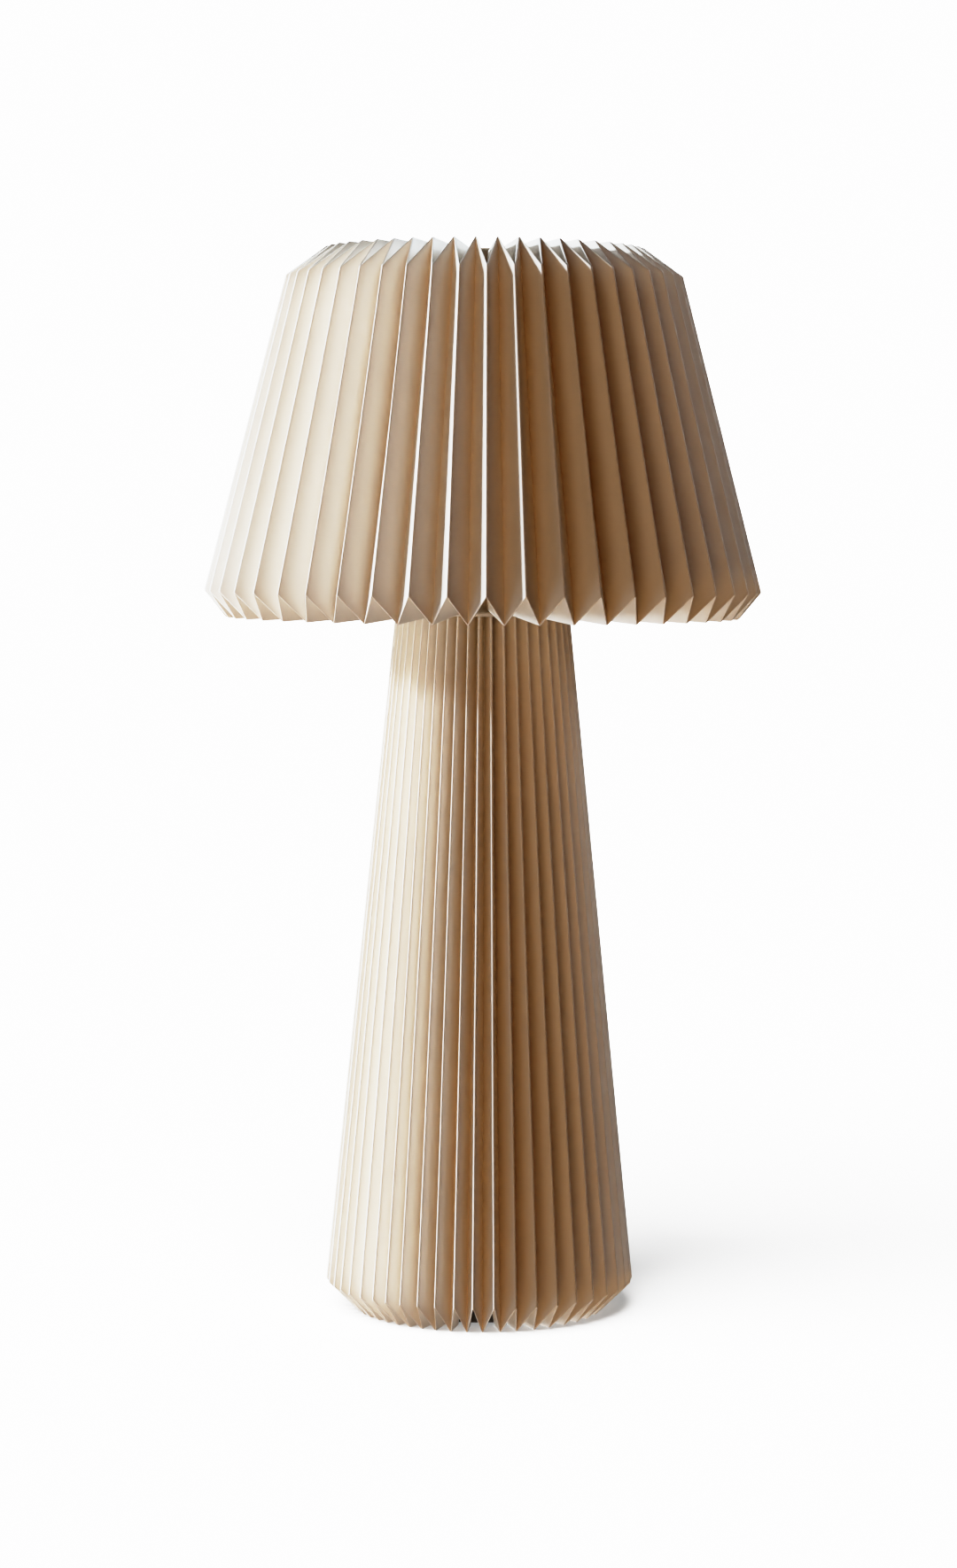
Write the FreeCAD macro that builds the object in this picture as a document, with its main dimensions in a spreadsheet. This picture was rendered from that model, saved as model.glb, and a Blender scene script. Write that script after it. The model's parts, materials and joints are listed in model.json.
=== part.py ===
import FreeCAD, Part
import Sketcher
import math
import os

# Pleated table lamp.
# A foot folded from one sheet of shade foil stands over a cast weight. A threaded stem rises
# through it to a round plate and a lampholder. The shade, folded from three sheets of the same
# foil, rests on the plate by its lower ring, so it lifts off over the bulb. Millimetres, Z up,
# the floor at zero, the lamp's axis on Z, and a fold of the shade on +X.

SIZES = (
    # The folded foil
    ("pleats", 48, "folds round each skin"),
    ("pleat_width", 17.4, "width of one flat strip between two folds"),
    ("foil", 0.4, "thickness of the shade foil"),
    ("fold_round", 0.4, "how far a fold's rounded back stands out from the middle of the foil"),
    # The foot
    ("foot_corner_radius", 82.3, "radius of the folds at their lower corners"),
    ("foot_corner_rise", 14.7, "height of those corners above the tips that stand on the floor"),
    ("foot_top_radius", 46.9, "radius of the folds at the cut upper edge"),
    ("foot_height", 372.4, "height of the cut upper edge"),
    ("foot_turn", -2.7, "degrees that the foot's folds and cord inlet are turned about the axis"),
    ("foot_crowding", 7.7, "degrees by which the folds at its sides are moved round, which crowds "
                           "them at the front left"),
    # The shade
    ("shade_corner_radius", 150.0, "radius of the folds at their lower corners"),
    ("shade_corner_rise", 14.0, "height of the lower corners above the lower tips"),
    ("shade_slant_height", 169.7, "height from the lower corners to the upper ones"),
    ("shade_top_radius", 107.2, "radius of the folds at their upper corners"),
    ("shade_top_rise", 15.1, "height of the upper tips above the upper corners"),
    ("shade_drop", 3.3, "how far the lower tips hang below the plate's top"),
    ("shade_top_sink", 3.5, "how far the upper collar falls towards the axis"),
    ("vent_radius", 27.0, "radius of the open middle of the upper ring"),
    # The two rings that gather the shade's collars
    ("ring_sheet", 0.8, "thickness of a ring's wall and lips"),
    ("ring_lip", 4.4, "reach of a ring's lips past its wall"),
    ("bulb_clearance", 8.5, "gap between the bulb and the lower ring, for lifting the shade off"),
    # The cast weight and its felt
    ("weight_spigot_radius", 51.0, "radius of the part that stands inside the folded skirt"),
    ("weight_flange_height", 12.0, "thickness of the flange over the skirt"),
    ("weight_chamfer", 1.5, "chamfer round the flange's top"),
    ("recess_radius", 12.0, "radius of the recess for the lower nut"),
    ("recess_height", 7.0, "depth of that recess"),
    ("felt_thickness", 1.5, "thickness of the felt ring"),
    ("felt_margin", 7.0, "how far the felt ring stays inside the spigot's edge"),
    ("channel_width", 7.2, "width of the cord's channel under the weight"),
    ("channel_height", 5.7, "height of that channel"),
    # The cord's inlet
    ("bush_radius", 3.4, "outer radius of the bush"),
    ("bush_bore_radius", 2.6, "bore of the bush, for a five millimetre cord"),
    ("bush_length", 6.0, "length of the bush"),
    # Stem, nuts, washers and plate
    ("stem_radius", 5.0, "outer radius of the threaded stem"),
    ("stem_bore_radius", 3.6, "bore of the stem"),
    ("stem_tail", 1.0, "how far the stem passes its lowest nut"),
    ("nut_flats", 14.0, "width of a nut across its flats"),
    ("nut_height", 4.0, "height of a nut"),
    ("washer_radius", 10.0, "outer radius of a washer"),
    ("washer_thickness", 1.0, "thickness of a washer"),
    ("plate_thickness", 1.6, "thickness of the plate on the foot"),
    ("plate_overhang", 1.0, "how far the plate passes the folds of the foot"),
    ("hub_height", 6.0, "height of the hub that centres the foot's top"),
    ("hub_wall", 2.4, "wall of that hub"),
    # Lampholder
    ("holder_neck_radius", 8.0, "outer radius of the threaded neck"),
    ("holder_neck_height", 6.0, "height of the neck"),
    ("holder_dome_height", 9.0, "height of the dome over the neck"),
    ("holder_rim_height", 6.0, "height of the dome's upright rim"),
    ("holder_radius", 19.4, "outer radius of the holder"),
    ("holder_wall", 2.0, "wall of the dome and the sleeve"),
    ("holder_ledge", 2.0, "ledge in the dome that carries the insert"),
    ("holder_sleeve_height", 30.0, "height of the sleeve round the bulb's cap"),
    ("holder_bore_height", 14.0, "height of the sleeve's threaded bore, drawn at its crests"),
    ("insert_height", 10.0, "height of the insert that holds the contacts"),
    ("screw_circle", 8.5, "distance of each terminal screw from the axis"),
    ("screw_radius", 1.5, "radius of a terminal screw's shank"),
    ("screw_length", 5.0, "length of a terminal screw's shank"),
    ("screw_head_radius", 2.8, "radius of a terminal screw's head"),
    ("screw_head_height", 2.0, "height of a terminal screw's head"),
    ("contact_sheet", 0.6, "thickness of the contact strips"),
    ("contact_radius", 5.5, "radius of the centre contact's foot"),
    ("contact_button_radius", 3.0, "radius of the centre contact's button"),
    ("contact_rise", 2.0, "height of the centre contact over the insert"),
    ("side_contact_width", 6.0, "width of the side contact"),
    ("side_contact_height", 10.0, "height of the side contact over the insert"),
    # Bulb
    ("tip_radius", 4.5, "radius of the bulb's tip contact"),
    ("tip_height", 1.2, "height of the tip contact"),
    ("insulator_height", 4.5, "height of the insulator between tip and cap"),
    ("insulator_foot_radius", 5.5, "radius of the insulator at the tip contact"),
    ("cap_radius", 13.15, "radius of the screw cap at its thread's crests"),
    ("cap_thread_depth", 1.1, "depth of the cap's thread"),
    ("cap_pitch", 3.629, "pitch of the cap's thread"),
    ("cap_turns", 4, "rounds of thread on the cap"),
    ("cap_wall", 0.6, "wall of the cap under its thread"),
    ("cap_height", 18.0, "height of the cap"),
    ("housing_height", 33.0, "height of the bulb's housing"),
    ("housing_foot_radius", 13.4, "radius of the housing at the cap"),
    ("housing_waist_radius", 16.8, "radius of the housing where it starts to flare"),
    ("housing_waist_height", 24.0, "height of that place over the cap"),
    ("housing_wall", 2.0, "wall of the housing"),
    ("globe_radius", 30.0, "radius of the bulb's globe"),
    ("globe_seat_drop", 21.3, "height of the globe's centre over its seat"),
    ("globe_wall", 1.0, "wall of the globe"),
    ("board_radius", 18.5, "radius of the light board"),
    ("board_thickness", 1.6, "thickness of the light board"),
    # Fits
    ("seat_gap", 0.3, "gap between neighbours that rest or run on each other"),
    ("thread_gap", 0.1, "gap round the stem in what is threaded on it"),
    ("overrun", 1.0, "how far a cutting solid passes what it cuts"),
)


class Measure:
    """A length with its number and the formula over the sheet's cells that gives it."""

    def __init__(self, value, formula):
        self.value = value
        self.formula = formula

    def joined(self, sign, other, value):
        return Measure(value, "(%s %s %s)" % (self.formula, sign, other.formula))

    def __add__(self, other):
        other = measured(other)
        return self.joined("+", other, self.value + other.value)

    def __sub__(self, other):
        other = measured(other)
        return self.joined("-", other, self.value - other.value)

    def __mul__(self, other):
        other = measured(other)
        return self.joined("*", other, self.value * other.value)

    def __truediv__(self, other):
        other = measured(other)
        return self.joined("/", other, self.value / other.value)


def measured(number):
    """A plain count or share as a Measure, so that it can stand in a formula."""
    if isinstance(number, Measure):
        return number
    return Measure(number, str(number))


def root(square):
    return Measure(math.sqrt(square.value), "sqrt(%s)" % square.formula)


def sine(angle):
    return Measure(math.sin(math.radians(angle.value)), "sin(%s)" % angle.formula)


def cosine(angle):
    return Measure(math.cos(math.radians(angle.value)), "cos(%s)" % angle.formula)


doc = FreeCAD.newDocument("pleated_table_lamp")
sheet = doc.addObject("Spreadsheet::Sheet", "Sizes")
size = {}
for row, (name, number, note) in enumerate(SIZES, start=1):
    sheet.set("A%d" % row, name)
    sheet.set("B%d" % row, str(number))
    sheet.setAlias("B%d" % row, name)
    sheet.set("C%d" % row, note)
    size[name] = Measure(number, "Sizes." + name)
doc.recompute()


def bind(thing, path, measure):
    thing.setExpression(path, measured(measure).formula)


def primitive(kind, label, bottom=0, **lengths):
    """A Part primitive whose named lengths are bound to the sheet, standing at the height bottom."""
    piece = doc.addObject(kind, label)
    for path, measure in lengths.items():
        bind(piece, path, measure)
    bind(piece, "Placement.Base.z", bottom)
    return piece


def cylinder(label, radius, height, bottom):
    return primitive("Part::Cylinder", label, bottom, Radius=radius, Height=height)


def cut(label, base, tool):
    piece = doc.addObject("Part::Cut", label)
    piece.Base = base
    piece.Tool = tool
    return piece


def group(label, members):
    """One node that holds several separate solids."""
    piece = doc.addObject("Part::Compound", label)
    piece.Links = members
    return piece


def plane_of(body, role):
    return [plane for plane in body.Origin.OriginFeatures if plane.Role == role][0]


def turned(label, outline):
    """A PartDesign body turned about Z from a closed outline of (radius, height) corners."""
    body = doc.addObject("PartDesign::Body", label)
    sketch = body.newObject("Sketcher::SketchObject", label + "_outline")
    sketch.AttachmentSupport = [(plane_of(body, "XZ_Plane"), "")]
    sketch.MapMode = "FlatFace"
    corners = [(measured(radius), measured(height)) for radius, height in outline]
    points = [FreeCAD.Vector(radius.value, height.value, 0) for radius, height in corners]
    count = len(points)
    for index in range(count):
        sketch.addGeometry(Part.LineSegment(points[index], points[(index + 1) % count]), False)
    for index in range(count):
        sketch.addConstraint(Sketcher.Constraint("Coincident", index, 2, (index + 1) % count, 1))
    for index, (radius, height) in enumerate(corners):
        place_corner(sketch, index, "DistanceX", -2, radius)
        place_corner(sketch, index, "DistanceY", -1, height)
    turn = body.newObject("PartDesign::Revolution", label + "_turn")
    turn.Profile = sketch
    turn.ReferenceAxis = (sketch, ["V_Axis"])
    body.Tip = turn
    return body


def place_corner(sketch, index, kind, axis, measure):
    """Bind one coordinate of a corner to its measure, or put the corner on the axis."""
    if measure.value == 0:
        sketch.addConstraint(Sketcher.Constraint("PointOnObject", index, 1, axis))
        return
    number = sketch.addConstraint(Sketcher.Constraint(kind, -1, 1, index, 1, measure.value))
    bind(sketch, "Constraints[%d]" % number, measure)


def turn_about_axis(piece, angle):
    piece.Placement.Rotation = FreeCAD.Rotation(FreeCAD.Vector(0, 0, 1), angle.value)
    bind(piece, "Placement.Rotation.Angle", angle)
    return piece


def ring_outline(inner, outer, bottom, top):
    return [(inner, bottom), (outer, bottom), (outer, top), (inner, top)]


# Levels and radii that follow from the sheet

half_pitch = measured(180) / size["pleats"]
foot_slope = (size["foot_corner_radius"] - size["foot_top_radius"]) / (
    size["foot_height"] - size["foot_corner_rise"] - size["fold_round"])
shade_slope = (size["shade_corner_radius"] - size["shade_top_radius"]) / size["shade_slant_height"]


def valley_radius(fold_radius, slope):
    """Radius of the inner folds on the level where the outer folds have fold_radius."""
    aside = fold_radius * sine(half_pitch)
    depth = root(size["pleat_width"] * size["pleat_width"] - aside * aside)
    return fold_radius * cosine(half_pitch) - depth * root(slope * slope + 1)


def strip_height(radius):
    """Height of a strip that stands on edge in a collar, at a radius."""
    aside = radius * sine(half_pitch)
    return root(size["pleat_width"] * size["pleat_width"] - aside * aside)


plate_top = size["foot_height"] + size["plate_thickness"]
holder_bottom = plate_top + size["washer_thickness"] + size["nut_height"]
holder_ledge_level = holder_bottom + size["holder_neck_height"] + size["holder_dome_height"]
holder_rim_level = holder_ledge_level + size["holder_rim_height"]
sleeve_top = holder_rim_level + size["holder_sleeve_height"]
insert_top = holder_ledge_level + size["insert_height"]
tip_bottom = insert_top + size["contact_rise"] + size["seat_gap"]
insulator_bottom = tip_bottom + size["tip_height"]
cap_bottom = insulator_bottom + size["insulator_height"]
housing_bottom = cap_bottom + size["cap_height"]
globe_seat = housing_bottom + size["housing_height"]
globe_centre = globe_seat + size["globe_seat_drop"]

foot_floor_line = size["fold_round"]
foot_corner_level = foot_floor_line + size["foot_corner_rise"]
foot_tip_radius = valley_radius(size["foot_corner_radius"] + size["foot_corner_rise"] * foot_slope,
                                foot_slope)
foot_top_valley = valley_radius(size["foot_top_radius"], foot_slope)
foot_collar_radius = size["weight_spigot_radius"] + size["seat_gap"]
skirt_top = foot_floor_line + strip_height(foot_collar_radius) + size["fold_round"]

lower_ring_bore = size["globe_radius"] + size["bulb_clearance"]
lower_ring_wall = lower_ring_bore + size["ring_sheet"]
lower_ring_edge = lower_ring_wall + size["ring_lip"]
lower_collar_radius = lower_ring_wall + size["seat_gap"]
upper_ring_wall = size["vent_radius"] + size["ring_sheet"]
upper_ring_edge = upper_ring_wall + size["ring_lip"]
upper_collar_radius = upper_ring_wall + size["seat_gap"]

shade_low_level = plate_top - size["shade_drop"]
shade_corner_level = shade_low_level + size["shade_corner_rise"]
shade_top_level = shade_corner_level + size["shade_slant_height"]
shade_tip_level = shade_top_level + size["shade_top_rise"]
shade_low_tip = valley_radius(size["shade_corner_radius"] + size["shade_corner_rise"] * shade_slope,
                              shade_slope)
shade_top_tip = valley_radius(size["shade_top_radius"] - size["shade_top_rise"] * shade_slope,
                              shade_slope)
lip_clear = plate_top + size["ring_sheet"] + size["seat_gap"] + size["fold_round"]
lower_collar_slope = (lip_clear - shade_low_level) / (shade_low_tip - lower_ring_edge)
lower_collar_level = lip_clear + (lower_ring_edge - lower_collar_radius) * lower_collar_slope
lower_collar_crest = lower_collar_level + strip_height(lower_collar_radius)
upper_collar_level = shade_tip_level - size["shade_top_sink"]
upper_collar_base = upper_collar_level - strip_height(upper_collar_radius)
upper_collar_slope = size["shade_top_sink"] / (shade_top_tip - upper_collar_radius)


# The folded skins

def line_normal(start, end):
    """The unit normal, on the foil's outer side, of a line in the plane of radius and height."""
    along = [end[0] - start[0], end[1] - start[1]]
    length = math.hypot(along[0], along[1])
    return [along[1] / length, -along[0] / length]


def in_space(point, angle):
    return FreeCAD.Vector(point[0] * math.cos(angle), point[0] * math.sin(angle), point[1])


def line_offset(start, end, beside, step):
    """How far half the foil's thickness moves a fold line along its normal."""
    normal = line_normal(start, end)
    along = in_space(end, 0) - in_space(start, 0)
    strip = along.cross(in_space(beside, step) - in_space(start, 0))
    strip.normalize()
    lean = abs(strip.dot(FreeCAD.Vector(normal[0], 0, normal[1])))
    return size["foil"].value / 2 / lean


def meeting(first, first_reach, second, second_reach):
    """The shift that lies first_reach along one normal and second_reach along the other."""
    cross = first[0] * second[1] - first[1] * second[0]
    return [(first_reach * second[1] - second_reach * first[1]) / cross,
            (first[0] * second_reach - second[0] * first_reach) / cross]


def fold_shifts(line, other, step, backs):
    """For each corner of a fold line, the shifts to the outer and the inner face of the foil.

    backs says for each stretch of the line whether its rounded back is on the outer side.
    """
    normals = []
    outward = []
    inward = []
    for index, back_outside in enumerate(backs):
        normals.append(line_normal(line[index], line[index + 1]))
        reach = line_offset(line[index], line[index + 1], other[index], step)
        rounded = min(reach, size["fold_round"].value)
        outward.append(rounded if back_outside else reach)
        inward.append(reach if back_outside else rounded)
    shifts = []
    for reaches, side in ((outward, 1), (inward, -1)):
        row = [[normals[0][0] * reaches[0], normals[0][1] * reaches[0]]]
        for index in range(1, len(backs)):
            row.append(meeting(normals[index - 1], reaches[index - 1], normals[index], reaches[index]))
        row.append([normals[-1][0] * reaches[-1], normals[-1][1] * reaches[-1]])
        shifts.append([[side * part for part in shift] for shift in row])
    return shifts


def cut_level(shift, normal):
    """Keeps the end of a fold line on a level cut, at the same distance from the line."""
    reach = shift[0] * normal[0] + shift[1] * normal[1]
    return [reach / normal[0], 0]


def folded_skin(labels, outer_folds, inner_folds, outer_backs, level_top, turn, crowding):
    """A ring of folded foil between two fold lines, each a list of (radius, height) corners.

    Each label names one sheet of it. Sheets are joined at inner folds, the first at the back.
    """
    step = math.radians(half_pitch.value)
    folds = [outer_folds, inner_folds]
    backs = [outer_backs, [not back for back in outer_backs]]
    faces_of_fold = []
    for which in (0, 1):
        shifts = fold_shifts(folds[which], folds[1 - which], step, backs[which])
        if level_top:
            normal = line_normal(folds[which][-2], folds[which][-1])
            shifts = [row[:-1] + [cut_level(row[-1], normal)] for row in shifts]
        faces_of_fold.append([[[corner[0] + shift[0], corner[1] + shift[1]]
                               for corner, shift in zip(folds[which], row)] for row in shifts])
    pleats = int(size["pleats"].value)
    count = 2 * pleats
    grid = []
    for number in range(count):
        corners = faces_of_fold[number % 2]
        even = math.radians(turn) + number * step
        angle = even + math.radians(crowding) * math.cos(even) ** 2
        grid.append([[in_space(point, angle) for point in row] for row in corners])
    first_seam = 1 + 2 * (pleats // 4)
    sheets = []
    for number, label in enumerate(labels):
        start = first_seam + 2 * (pleats * number // len(labels))
        stop = first_seam + 2 * (pleats * (number + 1) // len(labels))
        faces = []
        for fold in range(start, stop):
            faces += strip_faces(grid[fold % count], grid[(fold + 1) % count], fold % 2)
        if len(labels) > 1:
            faces += [seam_face(grid[start % count]), seam_face(grid[stop % count])]
        piece = doc.addObject("Part::Feature", label)
        piece.Shape = closed_solid(faces)
        piece.Placement = FreeCAD.Placement()
        sheets.append(piece)
    return sheets


def strip_faces(here, there, swapped):
    """The two sides and the two ends of the strip between neighbouring folds."""
    if swapped:
        here, there = there, here
    faces = []
    for side in (0, 1):
        for index in range(len(here[side]) - 1):
            faces += two_triangles(here[side][index], there[side][index],
                                   there[side][index + 1], here[side][index + 1])
    for end in (0, -1):
        faces += two_triangles(here[0][end], there[0][end], there[1][end], here[1][end])
    return faces


def seam_face(fold):
    """The foil's own section along a fold, where one sheet ends and the next is joined to it."""
    return Part.Face(Part.makePolygon(fold[0] + fold[1][::-1] + [fold[0][0]]))


def closed_solid(faces):
    shell = Part.Shell(faces)
    shell.sewShape()
    solid = Part.Solid(shell)
    if solid.Volume < 0:
        solid.reverse()
    return solid


def two_triangles(first, second, third, fourth):
    return [Part.Face(Part.makePolygon([first, second, third, first])),
            Part.Face(Part.makePolygon([first, third, fourth, first]))]


def numbers(*corners):
    return [[measured(radius).value, measured(height).value] for radius, height in corners]


foot_sheets = folded_skin(
    ["pleated_foot"],
    numbers((foot_collar_radius, foot_floor_line + strip_height(foot_collar_radius)),
            (size["foot_corner_radius"], foot_corner_level),
            (size["foot_top_radius"], size["foot_height"])),
    numbers((foot_collar_radius, foot_floor_line),
            (foot_tip_radius, foot_floor_line),
            (foot_top_valley, size["foot_height"])),
    [False, True], True, size["foot_turn"].value, size["foot_crowding"].value)

shade_sheets = folded_skin(
    ["pleated_shade_left", "pleated_shade_front", "pleated_shade_right"],
    numbers((lower_collar_radius, lower_collar_crest),
            (size["shade_corner_radius"], shade_corner_level),
            (size["shade_top_radius"], shade_top_level),
            (upper_collar_radius, upper_collar_base)),
    numbers((lower_collar_radius, lower_collar_level),
            (shade_low_tip, shade_low_level),
            (shade_top_tip, shade_tip_level),
            (upper_collar_radius, upper_collar_level)),
    [False, True, False], False, 0, 0)


# Base

stem_hole = size["stem_radius"] + size["thread_gap"]
recess_roof = size["felt_thickness"] + size["recess_height"]
flange_bottom = skirt_top + size["seat_gap"]
flange_top = flange_bottom + size["weight_flange_height"]
fold_at_flange = size["foot_corner_radius"] - (flange_top - foot_corner_level) * foot_slope
flange_radius = valley_radius(fold_at_flange, foot_slope) - size["fold_round"] - size["seat_gap"]
channel_roof = size["felt_thickness"] + size["channel_height"]

base_felt = turned("base_felt", ring_outline(
    size["recess_radius"], size["weight_spigot_radius"] - size["felt_margin"],
    0, size["felt_thickness"]))

weight_casting = turned("weight_casting", [
    (stem_hole, recess_roof),
    (size["recess_radius"], recess_roof),
    (size["recess_radius"], size["felt_thickness"]),
    (size["weight_spigot_radius"], size["felt_thickness"]),
    (size["weight_spigot_radius"], flange_bottom),
    (flange_radius, flange_bottom),
    (flange_radius, flange_top - size["weight_chamfer"]),
    (flange_radius - size["weight_chamfer"], flange_top),
    (stem_hole, flange_top)])
cord_channel = primitive(
    "Part::Box", "cord_channel", size["felt_thickness"] - size["overrun"],
    Length=size["channel_width"],
    Width=size["weight_spigot_radius"] + size["overrun"],
    Height=size["channel_height"] + size["overrun"])
bind(cord_channel, "Placement.Base.x", measured(0) - size["channel_width"] / 2)
base_weight = turn_about_axis(cut("base_weight", weight_casting, cord_channel),
                              size["foot_turn"])

bush_axis = channel_roof - size["thread_gap"] - size["bush_radius"]


def lying_along_y(label, radius, start, length, level):
    piece = cylinder(label, radius, length, level)
    piece.Placement.Rotation = FreeCAD.Rotation(FreeCAD.Vector(1, 0, 0), -90)
    bind(piece, "Placement.Base.y", start)
    return piece


bush_start = size["weight_spigot_radius"] - size["bush_length"]
bush_outside = lying_along_y("bush_outside", size["bush_radius"], bush_start,
                             size["bush_length"], bush_axis)
bush_bore = lying_along_y("bush_bore", size["bush_bore_radius"], bush_start - size["overrun"],
                          size["bush_length"] + size["overrun"] * 2, bush_axis)
cable_bush = turn_about_axis(cut("cable_bush", bush_outside, bush_bore), size["foot_turn"])


# Stem, plate, nuts and washers

lowest_nut = recess_roof - size["washer_thickness"] - size["nut_height"]
stem_bottom = lowest_nut - size["stem_tail"]
stem_top = holder_bottom + size["holder_neck_height"]
stem_tube = turned("stem_tube", ring_outline(
    size["stem_bore_radius"], size["stem_radius"], stem_bottom, stem_top))

hub_radius = foot_top_valley - size["fold_round"] - size["seat_gap"]
hub_inside = hub_radius - size["hub_wall"]
hub_bottom = size["foot_height"] - size["hub_height"]
plate_radius = size["foot_top_radius"] + size["fold_round"] + size["plate_overhang"]
foot_top_plate = turned("foot_top_plate", [
    (stem_hole, size["foot_height"]),
    (hub_inside, size["foot_height"]),
    (hub_inside, hub_bottom),
    (hub_radius, hub_bottom),
    (hub_radius, size["foot_height"]),
    (plate_radius, size["foot_height"]),
    (plate_radius, plate_top),
    (stem_hole, plate_top)])


def hexagon_nut(label, level):
    blank = primitive("Part::Prism", label + "_blank", level,
                      Circumradius=size["nut_flats"] / root(measured(3)),
                      Height=size["nut_height"])
    blank.Polygon = 6
    hole = cylinder(label + "_hole", stem_hole, size["nut_height"] + size["overrun"] * 2,
                    level - size["overrun"])
    return cut(label, blank, hole)


def washer(label, level):
    blank = cylinder(label + "_blank", size["washer_radius"], size["washer_thickness"], level)
    hole = cylinder(label + "_hole", stem_hole, size["washer_thickness"] + size["overrun"] * 2,
                    level - size["overrun"])
    return cut(label, blank, hole)


under_plate = size["foot_height"] - size["washer_thickness"]
stem_nuts = group("stem_nuts", [
    hexagon_nut("lowest_nut", lowest_nut),
    hexagon_nut("weight_nut", flange_top + size["washer_thickness"]),
    hexagon_nut("under_plate_nut", under_plate - size["nut_height"]),
    hexagon_nut("plate_nut", plate_top + size["washer_thickness"])])
stem_washers = group("stem_washers", [
    washer("lowest_washer", recess_roof - size["washer_thickness"]),
    washer("weight_washer", flange_top),
    washer("under_plate_washer", under_plate),
    washer("plate_washer", plate_top)])


# Lampholder

holder_inside = size["holder_radius"] - size["holder_wall"]
ledge_radius = holder_inside - size["holder_ledge"]
holder_bore = size["cap_radius"] + size["seat_gap"]
dome_steepness = size["holder_dome_height"] / (size["holder_radius"] - size["holder_neck_radius"])
lampholder_cap = turned("lampholder_cap", [
    (stem_hole, holder_bottom),
    (size["holder_neck_radius"], holder_bottom),
    (size["holder_neck_radius"], stem_top),
    (size["holder_radius"], holder_ledge_level),
    (size["holder_radius"], holder_rim_level),
    (holder_inside, holder_rim_level),
    (holder_inside, holder_ledge_level),
    (ledge_radius, holder_ledge_level),
    (stem_hole, holder_ledge_level - (ledge_radius - stem_hole) * dome_steepness)])

bore_bottom = sleeve_top - size["holder_bore_height"]
lampholder_sleeve = turned("lampholder_sleeve", [
    (holder_inside, holder_rim_level),
    (size["holder_radius"], holder_rim_level),
    (size["holder_radius"], sleeve_top),
    (holder_bore, sleeve_top),
    (holder_bore, bore_bottom),
    (holder_inside, bore_bottom)])


def beside_axis(piece, distance):
    bind(piece, "Placement.Base.y", distance)
    return piece


sides = (("front", measured(0) - size["screw_circle"]), ("back", size["screw_circle"]))
screw_holes = group("screw_holes", [
    beside_axis(cylinder("%s_screw_hole" % side, size["screw_radius"] + size["thread_gap"],
                         size["screw_length"] + size["overrun"] * 2,
                         holder_ledge_level - size["overrun"]), distance)
    for side, distance in sides])
insert_blank = cylinder("insert_blank", holder_inside - size["seat_gap"], size["insert_height"],
                        holder_ledge_level)
lampholder_insert = cut("lampholder_insert", insert_blank, screw_holes)


def terminal_screw(side, distance):
    screw = doc.addObject("Part::MultiFuse", "%s_terminal_screw" % side)
    head = cylinder("%s_screw_head" % side, size["screw_head_radius"], size["screw_head_height"],
                    holder_ledge_level - size["screw_head_height"])
    shank = cylinder("%s_screw_shank" % side, size["screw_radius"],
                     size["screw_head_height"] + size["screw_length"],
                     holder_ledge_level - size["screw_head_height"])
    screw.Shapes = [beside_axis(head, distance), beside_axis(shank, distance)]
    return screw


terminal_screws = group("terminal_screws", [terminal_screw(*side) for side in sides])

contact_top = insert_top + size["contact_rise"]
lampholder_centre_contact = turned("lampholder_centre_contact", [
    (0, insert_top),
    (size["contact_radius"], insert_top),
    (size["contact_radius"], insert_top + size["contact_sheet"]),
    (size["contact_button_radius"], insert_top + size["contact_sheet"]),
    (size["contact_button_radius"], contact_top),
    (0, contact_top)])

lampholder_side_contact = primitive(
    "Part::Box", "lampholder_side_contact", insert_top,
    Length=size["contact_sheet"],
    Width=size["side_contact_width"],
    Height=size["side_contact_height"])
bind(lampholder_side_contact, "Placement.Base.x", holder_bore)
bind(lampholder_side_contact, "Placement.Base.y", measured(0) - size["side_contact_width"] / 2)


# Bulb

cap_root = size["cap_radius"] - size["cap_thread_depth"]
cap_inside = cap_root - size["cap_wall"]
bulb_tip_contact = cylinder("bulb_tip_contact", size["tip_radius"], size["tip_height"], tip_bottom)
bulb_insulator = primitive(
    "Part::Cone", "bulb_insulator", insulator_bottom,
    Radius1=size["insulator_foot_radius"], Radius2=cap_root, Height=size["insulator_height"])

thread = [(cap_root, cap_bottom)]
for number in range(int(size["cap_turns"].value)):
    thread.append((size["cap_radius"], cap_bottom + size["cap_pitch"] * (number + 1 / 2)))
    thread.append((cap_root, cap_bottom + size["cap_pitch"] * (number + 1)))
bulb_screw_cap = turned("bulb_screw_cap", [(cap_inside, cap_bottom)] + thread + [
    (cap_root, housing_bottom),
    (cap_inside, housing_bottom)])

waist_level = housing_bottom + size["housing_waist_height"]
housing_floor = housing_bottom + size["housing_wall"]
globe_seat_radius = root(size["globe_radius"] * size["globe_radius"]
                         - size["globe_seat_drop"] * size["globe_seat_drop"])
bulb_housing = turned("bulb_housing", [
    (0, housing_bottom),
    (size["housing_foot_radius"], housing_bottom),
    (size["housing_waist_radius"], waist_level),
    (globe_seat_radius, globe_seat),
    (size["board_radius"] - size["housing_wall"], globe_seat),
    (size["housing_waist_radius"] - size["housing_wall"], waist_level),
    (size["housing_foot_radius"] - size["housing_wall"], housing_floor),
    (0, housing_floor)])
bulb_light_board = cylinder("bulb_light_board", size["board_radius"], size["board_thickness"],
                            globe_seat)

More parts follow.
